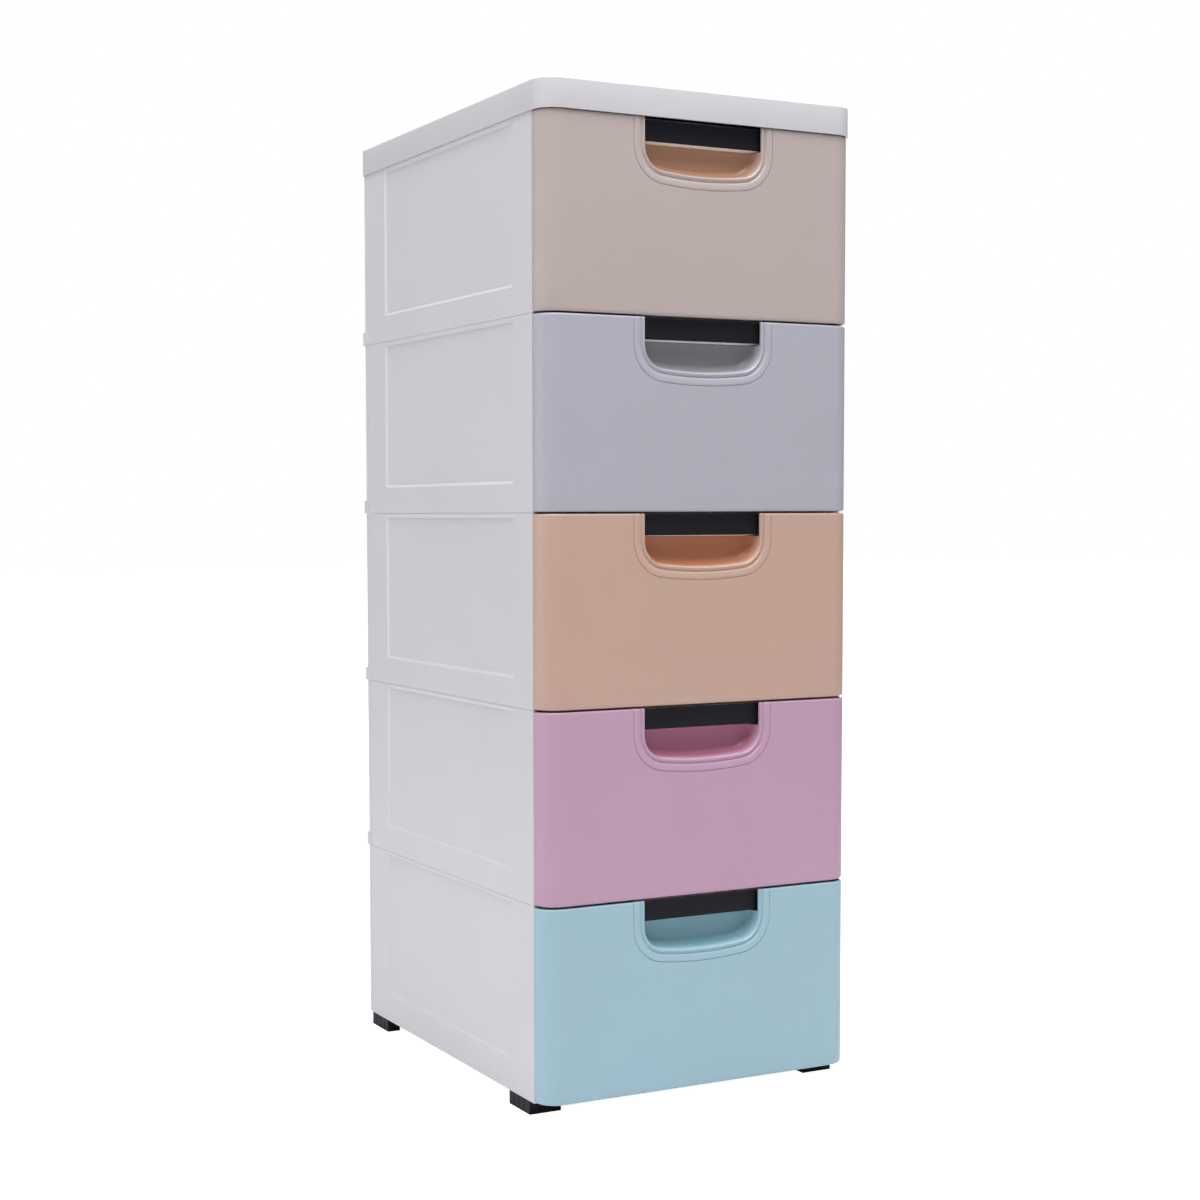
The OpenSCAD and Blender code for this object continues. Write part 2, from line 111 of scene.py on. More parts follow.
studio = {
    "skyLight": 0.285,
    "skySeen": 1.0,
    "floorColour": (0.80, 0.80, 0.81, 1),
    "floorGlow": 0,
    "floorSeen": 0.94,
    "floorSize": 40,
    "lamps": {
        "topSoftbox": {
            "place": (-0.3, -0.9, 3.0), "aim": (0, -0.1, 0.5), "size": (2.4, 1.4), "power": 85},
        "overSoftbox": {
            "place": (0.2, 0.1, 3.0), "aim": (0, 0, 0.5), "size": (2.0, 2.0), "power": 42},
        "leftRearSoftbox": {
            "place": (-3.0, 1.0, 0.8), "aim": (0, 0, 0.4), "size": (1.4, 1.6), "power": 9},
        "leftSoftbox": {
            "place": (-3.0, -0.4, 0.7), "aim": (0, 0, 0.25), "size": (1.4, 1.6), "power": 6.6},
        "rearSoftbox": {
            "place": (1.6, 3.0, 1.3), "aim": (0, 0, 0.5), "size": (2.0, 1.6), "power": 26},
    },
}


def makeStudio():
    def seenOrLit(tree, seen, lit):
        # one strength for the eye of the camera, another for the light it gives
        path = tree.nodes.new("ShaderNodeLightPath")
        strength = tree.nodes.new("ShaderNodeMapRange")
        strength.inputs["To Min"].default_value = lit
        strength.inputs["To Max"].default_value = seen
        tree.links.new(path.outputs["Is Camera Ray"], strength.inputs["Value"])
        return strength.outputs["Result"]

    world = bpy.data.worlds.new("studio")
    scene.world = world
    world.use_nodes = True
    sky = world.node_tree.nodes["Background"]
    sky.inputs["Color"].default_value = (1, 1, 1, 1)
    world.node_tree.links.new(
        seenOrLit(world.node_tree, studio["skySeen"], studio["skyLight"]), sky.inputs["Strength"])

    size = studio["floorSize"] / 2
    mesh = bpy.data.meshes.new("floor")
    corners = [(-size, -size, 0), (size, -size, 0), (size, size, 0), (-size, size, 0)]
    mesh.from_pydata(corners, [], [(0, 1, 2, 3)])
    floor = bpy.data.objects.new("floor", mesh)
    scene.collection.objects.link(floor)
    paper = bpy.data.materials.new("floorPaper")
    paper.use_nodes = True
    shader = paper.node_tree.nodes["Principled BSDF"]
    shader.inputs["Base Color"].default_value = studio["floorColour"]
    shader.inputs["Roughness"].default_value = 1
    shader.inputs["Specular IOR Level"].default_value = 0
    shader.inputs["Emission Color"].default_value = (1, 1, 1, 1)
    glow = seenOrLit(paper.node_tree, studio["floorSeen"], studio["floorGlow"])
    paper.node_tree.links.new(glow, shader.inputs["Emission Strength"])
    mesh.materials.append(paper)

    for name, lamp in studio["lamps"].items():
        data = bpy.data.lights.new(name, "AREA")
        data.shape = "RECTANGLE"
        data.size, data.size_y = lamp["size"]
        data.energy = lamp["power"]
        softbox = bpy.data.objects.new(name, data)
        softbox.location = lamp["place"]
        aim = Vector(lamp["aim"]) - Vector(lamp["place"])
        softbox.rotation_euler = aim.to_track_quat("-Z", "Y").to_euler()
        scene.collection.objects.link(softbox)
    scene.view_settings.view_transform = "Standard"


makeCamera()
makeStudio()
print("camera and studio ready")


# noise scales are per metre and heights in metres
mould = {
    "cloudScale": 7,
    "glossScale": 38,
    "glossSpread": 0.04,
    "grainScale": 1500,
    "grainHeight": 0.00006,
    "waveScale": 11,
    "waveHeight": 0.0006,
    "noiseRange": (0.3, 0.7),
    # painted shade in the hollow behind a hand opening: depths and half widths in mm between which it
    # fades in
    "hollowDepth": (3, 13),
    "hollowShadeReach": (72, 74),
}


def plastic(name, look):
    # moulded plastic: faint clouds in the colour, fine spark-eroded grain, slow waves in the gloss, and
    # painted shade in the hollow behind a hand opening where the look has a deep colour
    material = bpy.data.materials.new(name)
    material.use_nodes = True
    nodes = material.node_tree.nodes
    links = material.node_tree.links
    shader = nodes["Principled BSDF"]
    spot = nodes.new("ShaderNodeTexCoord").outputs["Object"]

    def noise(scale, detail):
        texture = nodes.new("ShaderNodeTexNoise")
        texture.inputs["Scale"].default_value = scale
        texture.inputs["Detail"].default_value = detail
        links.new(spot, texture.inputs["Vector"])
        return texture.outputs["Fac"]

    def mapped(value, source, target):
        node = nodes.new("ShaderNodeMapRange")
        for key, number in zip(("From Min", "From Max", "To Min", "To Max"), (*source, *target)):
            node.inputs[key].default_value = number
        links.new(value, node.inputs["Value"])
        return node.outputs["Result"]

    def blended(factor, colourA, colourB):
        node = nodes.new("ShaderNodeMix")
        node.data_type = "RGBA"
        links.new(factor, node.inputs["Factor"])
        for socket, colour in ((node.inputs[6], colourA), (node.inputs[7], colourB)):
            if isinstance(colour, bpy.types.NodeSocket):
                links.new(colour, socket)
            else:
                socket.default_value = (*colour, 1)
        return node.outputs[2]

    def product(a, b):
        node = nodes.new("ShaderNodeMath")
        node.operation = "MULTIPLY"
        links.new(a, node.inputs[0])
        links.new(b, node.inputs[1])
        return node.outputs[0]

    base = look["colour"]
    cloudy = [channel * (1 - look["cloud"]) for channel in base]
    clouds = mapped(noise(mould["cloudScale"], 3), mould["noiseRange"], (0, 1))
    colour = blended(clouds, base, cloudy)
    if "deep" in look:
        # painted shade: the hollow behind the hand opening takes the darker, more saturated deep
        # colour, standing in for its shadow and the light bounced between its walls
        split = nodes.new("ShaderNodeSeparateXYZ")
        links.new(spot, split.inputs["Vector"])
        reach = nodes.new("ShaderNodeMath")
        reach.operation = "ABSOLUTE"
        links.new(split.outputs["X"], reach.inputs[0])
        depth = mapped(split.outputs["Y"], [faceY + y * mm for y in mould["hollowDepth"]], (0, 1))
        inside = mapped(reach.outputs[0], [x * mm for x in mould["hollowShadeReach"]], (1, 0))
        colour = blended(product(depth, inside), colour, look["deep"])
    links.new(colour, shader.inputs["Base Color"])
    spread = mould["glossSpread"]
    gloss = mapped(
        noise(mould["glossScale"], 4), mould["noiseRange"],
        (look["roughness"] - spread, look["roughness"] + spread))
    links.new(gloss, shader.inputs["Roughness"])
    grain = nodes.new("ShaderNodeBump")
    grain.inputs["Strength"].default_value = look["grain"]
    grain.inputs["Distance"].default_value = mould["grainHeight"]
    links.new(noise(mould["grainScale"], 2), grain.inputs["Height"])
    waves = nodes.new("ShaderNodeBump")
    waves.inputs["Strength"].default_value = look["waves"]
    waves.inputs["Distance"].default_value = mould["waveHeight"]
    links.new(noise(mould["waveScale"], 1), waves.inputs["Height"])
    links.new(waves.outputs["Normal"], grain.inputs["Normal"])
    links.new(grain.outputs["Normal"], shader.inputs["Normal"])
    shader.inputs["IOR"].default_value = look["ior"]
    return material


# deep is painted shade: the darker, more saturated colour given to the hollow behind a hand opening in
# place of its shadow
frontLooks = {
    "beige": {"colour": (0.515, 0.43, 0.412), "deep": (0.46, 0.25, 0.16)},
    "grey": {"colour": (0.459, 0.456, 0.526), "deep": (0.26, 0.25, 0.275)},
    "peach": {"colour": (0.586, 0.395, 0.323), "deep": (0.46, 0.18, 0.09)},
    "mauve": {"colour": (0.553, 0.346, 0.484), "deep": (0.39, 0.135, 0.225)},
    "aqua": {"colour": (0.37, 0.56, 0.645), "deep": (0.17, 0.35, 0.42)},
}
colourNames = list(frontLooks)
frontFinish = {"cloud": 0.03, "roughness": 0.34, "grain": 0.25, "waves": 0.12, "ior": 1.49}
frameFinish = {"cloud": 0.03, "roughness": 0.42, "grain": 0.35, "waves": 0.15, "ior": 1.49}
creamFinish = {"cloud": 0.03, "roughness": 0.45, "grain": 0.3, "waves": 0.1, "ior": 1.49}
blackFinish = {"cloud": 0.15, "roughness": 0.5, "grain": 0.5, "waves": 0.1, "ior": 1.3}
boxRoughness = 0.42
finishes = {
    "white": plastic("whitePanel", {**frameFinish, "colour": (0.69, 0.68, 0.72)}),
    "cover": plastic("whiteCover", {**frameFinish, "colour": (0.64, 0.63, 0.655)}),
    "cream": plastic("creamBar", {**creamFinish, "colour": (0.90, 0.84, 0.77)}),
    "black": plastic("blackTrim", {**blackFinish, "colour": (0.0105, 0.0105, 0.0165)}),
}
for colourName, look in frontLooks.items():
    finishes[colourName] = plastic(colourName + "Front", {**frontFinish, **look})
    boxLook = {**frontFinish, "colour": look["colour"], "roughness": boxRoughness}
    finishes[colourName + "Box"] = plastic(colourName + "Box", boxLook)
print("materials ready")


def closedMesh(work, mesh, weld, thin):
    # joins corners closer than weld, drops edges shorter than thin, turns the faces outwards
    # and tells of edges that stay open
    bmesh.ops.remove_doubles(work, verts=work.verts, dist=weld * mm)
    bmesh.ops.dissolve_degenerate(work, dist=thin * mm, edges=work.edges)
    bmesh.ops.recalc_face_normals(work, faces=work.faces)
    openEdges = sum(1 for edge in work.edges if not edge.is_manifold)
    if openEdges:
        print(mesh.name, "open edges:", openEdges)
    work.to_mesh(mesh)
    work.free()
    return mesh


def meshFromFaces(name, patches, top):
    # patches: faces given as lists of (x, y, z) points in mm
    work = bmesh.new()
    for face in patches:
        corners = [work.verts.new(place(point, top)) for point in face]
        work.faces.new(corners)
    return closedMesh(work, bpy.data.meshes.new(name), weld=weldReach, thin=0.005)


def strips(rings, closed=False):
    # quads between neighbouring rings of equal length
    faces = []
    for ringA, ringB in zip(rings, rings[1:]):
        last = len(ringA) if closed else len(ringA) - 1
        for i in range(last):
            j = (i + 1) % len(ringA)
            faces.append([ringA[i], ringA[j], ringB[j], ringB[i]])
    return faces


def addPiece(name, mesh, material, body, replaced, sharp=32):
    piece = bpy.data.objects.new(name, mesh)
    scene.collection.objects.link(piece)
    mesh.materials.clear()
    mesh.materials.append(material)
    mesh.shade_smooth()
    mesh.set_sharp_from_angle(angle=math.radians(sharp))
    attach(piece, body)
    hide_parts(*replaced)
    return piece


def softenEdges(piece, width, segments=2, angle=28):
    bevel = piece.modifiers.new("edges", "BEVEL")
    bevel.width = width * mm
    bevel.segments = segments
    bevel.limit_method = "ANGLE"
    bevel.angle_limit = math.radians(angle)
    bevel.use_clamp_overlap = True
    bevel.harden_normals = True
    return piece


def dressedCopy(node, material, width, segments=2, flatAngle=0.4):
    # a merged copy of a plain part with softened edges
    work = bmesh.new()
    work.from_mesh(frame["nodes"][node].data)
    bmesh.ops.remove_doubles(work, verts=work.verts, dist=weldReach * mm)
    bmesh.ops.dissolve_limit(
        work, angle_limit=math.radians(flatAngle), verts=work.verts, edges=work.edges)
    mesh = bpy.data.meshes.new(node + "_finish")
    work.to_mesh(mesh)
    work.free()
    body = frame["nodes"][node]["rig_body"]
    piece = addPiece(node + "_finish", mesh, material, body, [node])
    return softenEdges(piece, width, segments)


front = {
    "halfWidth": 185,
    "cornerRadius": 22,
    "wrap": 23,
    "topRadius": 2.2,
    "edgeRadius": 2.8,
    "wall": 3,
    "lip": 14,
    "lipThick": 3,
    "faceInset": 0.3,
    "crown": 0.25,
    "gripHalf": 69,
    "gripDrop": 52.5,
    "gripRadius": 24,
    "gripSag": 2.8,
    "midRow": -14,
    "cupTop": -24.7,
    "cupBack": 17.7,
    "cupFoot": 9,
    "cupSide": 9,
    "cupWall": 2.4,
    # section of the rim: distance outside the opening, depth behind its highest part
    "rim": [(14.4, 0.3), (13.8, 0.3), (13.3, 1.0), (12.7, 0.1), (11.5, 0), (6.6, 0),
            (4.9, 1.7), (4.4, 1.7), (2.0, 0.1), (1.6, 0)],
    "softEdge": 0.6,
    "innerBevel": 1,
    "wrapChamfer": 0.5,
    "cheekIn": 76.3,
    "cheekBack": 19.5,
    "cheekLow": -57.8,
    "cheekHigh": -2,
    "postX": 135,
    "postRadius": 3,
    "postBack": 9,
    "postHeights": (-56, -161.4),
}
cornerSteps = 12
sagSteps = 20
rollSteps = 6
wrapSteps = 16
cupSteps = 12
rimSteps = 5
# rings between the outline of the face and the rim, as shares of the way
flatShares = (0.02, 0.25, 0.5, 0.75)
tiny = 1e-6


def eased(keys, steps):
    # a smooth way from one key of the section to the next
    points = [keys[0]]
    for (g0, d0), (g1, d1) in zip(keys, keys[1:]):
        count = steps if d0 != d1 else 1
        for i in range(1, count + 1):
            t = i / count
            points.append((g0 + (g1 - g0) * t, d0 + (d1 - d0) * (0.5 - 0.5 * math.cos(math.pi * t))))
    return points


def rimPoints():
    points = eased(front["rim"], rimSteps)
    g0, d0 = points[-1]
    for i in range(1, rollSteps + 1):
        turn = math.pi / 2 * i / rollSteps
        points.append((g0 * (1 - math.sin(turn)), d0 + (front["wall"] - d0) * (1 - math.cos(turn))))
    return points


def uShape(half, drop, radius, sag, sideRows):
    # x and z from the upper left end, round the foot, to the upper right end;
    # a shallow arc meets both corners smoothly
    centreX = half - radius
    centreZ = radius - drop
    rise = (centreX ** 2 + sag ** 2) / (2 * sag)
    lean = math.asin(centreX / rise)
    left = [(-half, z) for z in sideRows]
    for i in range(cornerSteps + 1):
        turn = (math.pi / 2 - lean) * i / cornerSteps
        left.append((-centreX - radius * math.cos(turn), centreZ - radius * math.sin(turn)))
    foot = []
    for i in range(1, sagSteps):
        turn = lean * (2 * i / sagSteps - 1)
        sweep = rise + radius
        foot.append((sweep * math.sin(turn), centreZ - sag + rise - sweep * math.cos(turn)))
    right = [(-x, z) for x, z in reversed(left)]
    return left + foot + right


def rollDepth(z, topEdge):
    # how far the rounded upper edge lies back at a height
    radius = front["topRadius"]
    rise = z - (topEdge - radius)
    if rise <= 0:
        return 0
    return radius - math.sqrt(max(0, radius ** 2 - rise ** 2))


def faceDepth(x, z, relief, topEdge, height):
    # crown of the face, relief of the rim and the rounded upper edge
    u = x / front["halfWidth"]
    v = 2 * (topEdge - z) / height - 1
    crown = front["crown"] * (1 - (1 - u * u) * (1 - v * v))
    roll = rollDepth(z, topEdge)
    share = 1 - roll / front["topRadius"]
    return (relief + crown) * share + roll


def boxFaces(low, high):
    # a box between two corners
    (x0, y0, z0), (x1, y1, z1) = low, high
    near = [(x0, y0, z0), (x1, y0, z0), (x1, y0, z1), (x0, y0, z1)]
    far = [(x, y1, z) for x, y, z in near]
    return strips([near, far], closed=True) + [near, far[::-1]]


def postFaces(x, y0, y1, z, radius, sides=16):
    # a round post along Y
    turns = [2 * math.pi * i / sides for i in range(sides)]
    near = [(x + radius * math.cos(turn), y0, z + radius * math.sin(turn)) for turn in turns]
    far = [(px, y1, pz) for px, y, pz in near]
    return strips([near, far], closed=True) + [near, far[::-1]]


def frontMesh(name, topEdge, bottom, top):
    # a front in one skin: face and rim, inner side, scoop, lower lip, corners, cheeks and posts
    edge = front["edgeRadius"]
    roll = front["topRadius"]
    wall = front["wall"]
    height = topEdge - bottom
    arcX = front["halfWidth"] - front["cornerRadius"]
    centreZ = front["gripRadius"] - front["gripDrop"]
    turns = [math.pi / 2 * i / rollSteps for i in range(rollSteps + 1)]
    sideRows = [topEdge - roll + roll * math.sin(turn) for turn in reversed(turns)]
    sideRows += [topEdge - roll - front["softEdge"], front["midRow"], front["cupTop"]]
    cupRow = len(sideRows) - 1
    grip = (front["gripHalf"], front["gripDrop"], front["gripRadius"])
    sag = front["gripSag"]

    def frameRing(low):
        # the outline of the flat face, with as many points as a U ring
        centreX = grip[0] - grip[2]
        left = [(-arcX, z) for z in sideRows]
        for i in range(cornerSteps + 1):
            t = 2 * i / cornerSteps
            if t <= 1:
                left.append((-arcX, centreZ + (low - centreZ) * t))
            else:
                left.append((-arcX + (arcX - centreX) * (t - 1), low))
        foot = [(centreX * (2 * i / sagSteps - 1), low) for i in range(1, sagSteps)]
        return left + foot + [(-x, z) for x, z in reversed(left)]

    def lifted(ring, relief):
        return [(x, faceDepth(x, z, relief, topEdge, height), z) for x, z in ring]

    def mixed(ringA, ringB, t):
        return [(a[0] + (b[0] - a[0]) * t, a[1] + (b[1] - a[1]) * t) for a, b in zip(ringA, ringB)]

    rim = rimPoints()
    flat = frameRing(bottom + edge)
    inset = front["faceInset"]
    outlines = [uShape(grip[0] + g, grip[1] + g, grip[2] + g, sag, sideRows) for g, d in rim]
    between = [mixed(flat, outlines[0], t) for t in flatShares]
    outer = [lifted(flat, inset)] + [lifted(ring, inset) for ring in between]
    for (g, d), ring in zip(rim, outlines):
        outer.append([(x, min(faceDepth(x, z, d, topEdge, height), wall), z) for x, z in ring])
    # the edge of the opening ends level with the inner side
    outer[-1] = [(x, wall, z) for x, z in outlines[-1]]
    faces = strips(outer)

    # inner side of the wall; behind the scoop it stops where the scoop starts
    innerLow = bottom + front["lipThick"] + front["innerBevel"]
    innerFlat = frameRing(innerLow)
    innerBetween = [mixed(innerFlat, outlines[0], t) for t in flatShares]
    inner = [[(x, wall, z) for x, z in ring] for ring in [innerFlat] + innerBetween + outlines]
    cupStart = next(i for i, (g, d) in enumerate(rim) if g <= front["cupWall"])
    cupStart += 1 + len(between)
    faces += strips(inner[:cupStart + 1])
    count = len(inner[0])
    for rings in ([ring[:cupRow + 1] for ring in inner[cupStart:]],
                  [ring[count - 1 - cupRow:] for ring in inner[cupStart:]]):
        faces += strips(rings)
    for end in (0, count - 1):
        faces += strips([[ring[end] for ring in outer], [ring[end] for ring in inner]])

    # scoop for the fingers; grow is how far its outer skin lies outside the inner one
    grow = -(outlines[cupStart - 1 - len(between)][0][0] + grip[0])
    cupInner, cupOuter = [], []
    for m in range(cupSteps + 1):
        turn = math.pi / 2 * m / cupSteps
        foot = front["cupFoot"] * (1 - math.cos(turn))
        side = front["cupSide"] * (1 - math.cos(turn))
        depth = wall + (front["cupBack"] - wall) * math.sin(turn)
        radius = grip[2] - (foot + side) / 2
        ring = uShape(grip[0] - side, grip[1] - foot, radius, sag, [front["cupTop"]])
        cupInner.append([(x, depth, z) for x, z in ring])
        ring = uShape(
            grip[0] - side + grow, grip[1] - foot + grow, radius + grow, sag, [front["cupTop"]])
        cupOuter.append([(x, depth + grow * math.sin(turn), z) for x, z in ring])
    faces += strips(cupInner) + strips(cupOuter)
    faces.append(cupInner[-1])
    faces.append(cupOuter[-1])
    for end, row in ((0, cupRow), (-1, count - 1 - cupRow)):
        bridge = [ring[row] for ring in inner[cupStart + 1:-1]]
        corners = [cupInner[0][end], cupInner[1][end], cupOuter[1][end], cupOuter[0][end]]
        faces.append(corners + bridge)
        faces += strips([[ring[end] for ring in cupInner[1:]], [ring[end] for ring in cupOuter[1:]]])
    faces.append([cupInner[-1][0], cupInner[-1][-1], cupOuter[-1][-1], cupOuter[-1][0]])

    def foldRows(faceInset):
        # rows of the section from the face round the lower lip to the inner wall
        rows = []
        for turn in turns:
            depth = edge - (edge - faceInset) * math.cos(turn)
            rows.append((depth, bottom + edge - edge * math.sin(turn)))
        soft = front["softEdge"]
        lip = front["lip"]
        lipTop = bottom + front["lipThick"]
        rows += [(lip - soft, bottom), (lip, bottom + soft), (lip, lipTop - soft), (lip - soft, lipTop)]
        rows += [(wall + front["innerBevel"], lipTop), (wall, innerLow)]
        return rows

    lowRing = [point for point in outer[0] if abs(point[2] - (bottom + edge)) < tiny]
    faces += strips([[(x, d, rowZ) for d, rowZ in foldRows(y)] for x, y, z in lowRing])

    # rounded corners and the wraps along the sides; the points of the section are
    # (depth, height, 1 on the outer side or 0 on the inner)
    leftLine = [point for point in outer[0] if abs(point[0] + arcX) < tiny]
    innerLine = [point for point in inner[0] if abs(point[0] + arcX) < tiny]
    straight = front["wrap"] - front["cornerRadius"]
    wrapTurns = [math.pi / 2 * i / wrapSteps for i in range(wrapSteps + 1)] + [math.pi / 2] * 2
    backs = [0] * (wrapSteps + 1) + [straight - front["wrapChamfer"], straight]
    for side in (-1, 1):
        columns = []
        for turn, back in zip(wrapTurns, backs):
            fade = math.cos(turn)
            chamfer = front["wrapChamfer"] if back == straight else 0
            rolls = [rollDepth(z, topEdge) for x, y, z in leftLine]
            section = [(y * fade + deep * (1 - fade), z, 1) for (x, y, z), deep in zip(leftLine, rolls)]
            rows = foldRows(leftLine[-1][1] * fade)
            section += [(d, z, 1 if i <= rollSteps + 1 else 0) for i, (d, z) in enumerate(rows)][1:-1]
            section += [(wall, z, 0) for x, y, z in reversed(innerLine)]
            column = []
            for d, z, isOuter in section:
                radius = front["cornerRadius"] - d - chamfer * isOuter
                x = arcX + radius * math.sin(turn)
                y = front["cornerRadius"] - radius * math.cos(turn) + back
                column.append((side * x, y, z))
            columns.append(column)
        faces += strips(columns, closed=True)
        faces.append(columns[-1])

    # cheeks that hold the grip bar, and the posts that hold the front on its box
    for side in (-1, 1):
        x0, x1 = sorted((side * front["cheekIn"], side * (front["cheekIn"] + wall)))
        faces += boxFaces(
            (x0, wall - intoPart, front["cheekLow"]), (x1, front["cheekBack"], front["cheekHigh"]))
        for z in front["postHeights"]:
            faces += postFaces(
                side * front["postX"], wall - intoPart, front["postBack"], z, front["postRadius"])
    return meshFromFaces(name, faces, top)


for k in drawers:
    low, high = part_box(f"drawer_front_{k}")
    top = tierTop(k)
    mesh = frontMesh(f"drawerFront{k}", (high.z - top) / mm, (low.z - top) / mm, top)
    colourName = colourNames[k - 1]
    addPiece(
        f"drawer_front_{k}_shell", mesh, finishes[colourName], f"drawer_{k}",
        [f"drawer_front_{k}"])
print("drawer fronts ready")


def startTree(name, sizes):
    # a Geometry Nodes tree with one named number input for each size, in mm, and one for the finish
    tree = bpy.data.node_groups.new(name, "GeometryNodeTree")
    tree.interface.new_socket("Geometry", in_out="OUTPUT", socket_type="NodeSocketGeometry")
    for label in sizes:
        tree.interface.new_socket(label, in_out="INPUT", socket_type="NodeSocketFloat")
    tree.interface.new_socket("Finish", in_out="INPUT", socket_type="NodeSocketMaterial")
    source = tree.nodes.new("NodeGroupInput")
    return tree, source.outputs


def addNode(tree, kind, inputs=None, **settings):
    node = tree.nodes.new(kind)
    for key, value in settings.items():
        setattr(node, key, value)
    for key, value in (inputs or {}).items():
        values = value if isinstance(value, list) else [value]
        for item in values:
            if isinstance(item, bpy.types.NodeSocket):
                tree.links.new(item, node.inputs[key])
            else:
                node.inputs[key].default_value = item
    return node


def made(tree, kind, inputs=None, **settings):
    # the first result of a new node
    return addNode(tree, kind, inputs, **settings).outputs[0]


def calc(tree, operation, a, b=0.0):
    return made(tree, "ShaderNodeMath", {0: a, 1: b}, operation=operation)


def sums(tree):
    # plus, minus and times for the numbers of one tree
    def pair(operation):
        return lambda a, b: calc(tree, operation, a, b)

    return pair("ADD"), pair("SUBTRACT"), pair("MULTIPLY")


def vector(tree, x, y, z=0.0):
    return made(tree, "ShaderNodeCombineXYZ", {0: x, 1: y, 2: z})


def picked(tree, kind, values):
    # the value whose place in the list is the point's index
    node = addNode(tree, "GeometryNodeIndexSwitch", data_type=kind)
    while len(node.index_switch_items) < len(values):
        node.index_switch_items.new()
    index = made(tree, "GeometryNodeInputIndex")
    tree.links.new(index, node.inputs[0])
    for i, value in enumerate(values):
        if isinstance(value, bpy.types.NodeSocket):
            tree.links.new(value, node.inputs[i + 1])
        else:
            node.inputs[i + 1].default_value = value
    return node.outputs[0]


def moved(tree, shape, offset):
    return made(tree, "GeometryNodeTransform", {0: shape, "Translation": offset})


def cornerCurve(tree, corners, closed, steps):
    # a curve through corners given as (x, y, rounding)
    line = made(tree, "GeometryNodeCurvePrimitiveLine")
    line = made(tree, "GeometryNodeResampleCurve", {"Curve": line, "Count": len(corners)}, mode="COUNT")
    spots = picked(tree, "VECTOR", [vector(tree, x, y) for x, y, rounding in corners])
    line = made(tree, "GeometryNodeSetPosition", {"Geometry": line, "Position": spots})
    line = made(tree, "GeometryNodeSetSplineCyclic", {0: line, "Cyclic": closed})
    radii = picked(tree, "FLOAT", [rounding for x, y, rounding in corners])
    return made(
        tree, "GeometryNodeFilletCurve", {"Curve": line, "Count": steps, "Radius": radii}, mode="POLY")


def swept(tree, outline, section):
    # a section of (distance outwards, height) points carried round an outline
    turned = made(tree, "GeometryNodeTransform", {0: section, "Scale": (1, -1, 1)})
    return made(tree, "GeometryNodeCurveToMesh", {0: outline, 1: turned})


def finishTree(tree, parts, finish):
    # the parts in one closed skin, then the finish
    solid = made(
        tree, "GeometryNodeMeshBoolean", {"Mesh 2": parts, "Self Intersection": True},
        operation="UNION", solver="EXACT")
    real = made(tree, "GeometryNodeRealizeInstances", {0: solid})
    dressed = made(tree, "GeometryNodeSetMaterial", {"Geometry": real, "Material": finish})
    output = tree.nodes.new("NodeGroupOutput")
    tree.links.new(dressed, output.inputs[0])
    return tree


def bakedMesh(name, tree, values, finish, top, mirrored=False):
    # the tree's result as a plain mesh in the frame; top is the height of its zero level in metres
    carrier = bpy.data.objects.new(name, bpy.data.meshes.new(name + "Start"))
    scene.collection.objects.link(carrier)
    modifier = carrier.modifiers.new("shape", "NODES")
    modifier.node_group = tree
    for item in tree.interface.items_tree:
        if item.in_out == "INPUT":
            modifier[item.identifier] = finish if item.name == "Finish" else float(values[item.name])
    state = bpy.context.evaluated_depsgraph_get()
    mesh = bpy.data.meshes.new_from_object(carrier.evaluated_get(state), depsgraph=state)
    carrier.modifiers.remove(modifier)
    bpy.data.objects.remove(carrier)
    mesh.name = name
    work = bmesh.new()
    work.from_mesh(mesh)
    for vertex in work.verts:
        if mirrored:
            vertex.co.x = -vertex.co.x
        vertex.co = place(vertex.co, top)
    return closedMesh(work, mesh, weld=0.005, thin=0.002)


def closedEnds(tree, ring, facingUp, facingDown):
    # flat faces over the two open loops of a swept ring, at the heights given
    neighbours = made(tree, "GeometryNodeInputMeshEdgeNeighbors")
    rim = calc(tree, "LESS_THAN", neighbours, 1.5)  # an open edge has one neighbour
    spot = made(tree, "GeometryNodeInputPosition")
    height = addNode(tree, "ShaderNodeSeparateXYZ", {0: spot}).outputs[2]
    caps = []
    for level in (facingUp, facingDown):
        distance = calc(tree, "ABSOLUTE", calc(tree, "SUBTRACT", height, level))
        near = calc(tree, "LESS_THAN", distance, weldReach)
        chosen = calc(tree, "MULTIPLY", rim, near)
        loop = made(tree, "GeometryNodeMeshToCurve", {"Mesh": ring, "Selection": chosen})
        cap = made(tree, "GeometryNodeFillCurve", {0: loop}, mode="NGONS")
        if level == facingDown:
            cap = made(tree, "GeometryNodeFlipFaces", {0: cap})
        caps.append(moved(tree, cap, vector(tree, 0.0, 0.0, level)))
    joined = made(tree, "GeometryNodeJoinGeometry", {0: [ring] + caps})
    return made(tree, "GeometryNodeMergeByDistance", {0: joined, "Distance": treeReach})


def block(tree, low, high):
    # a box between two corners
    plus, minus, times = sums(tree)
    size = [minus(b, a) for a, b in zip(low, high)]
    middle = [times(plus(a, b), 0.5) for a, b in zip(low, high)]
    cube = made(tree, "GeometryNodeMeshCube", {"Size": vector(tree, *size)})
    return moved(tree, cube, vector(tree, *middle))


def upright(tree, x, y, low, high, radius, sides=32):
    # an upright round post
    plus, minus, times = sums(tree)
    length = minus(high, low)
    middle = times(plus(low, high), 0.5)
    post = made(tree, "GeometryNodeMeshCylinder", {
        "Vertices": sides, "Radius": radius, "Depth": length})
    return moved(tree, post, vector(tree, x, y, middle))


def cutAway(tree, shape, tools):
    return made(
        tree, "GeometryNodeMeshBoolean", {"Mesh 1": shape, "Mesh 2": tools},
        operation="DIFFERENCE", solver="EXACT")


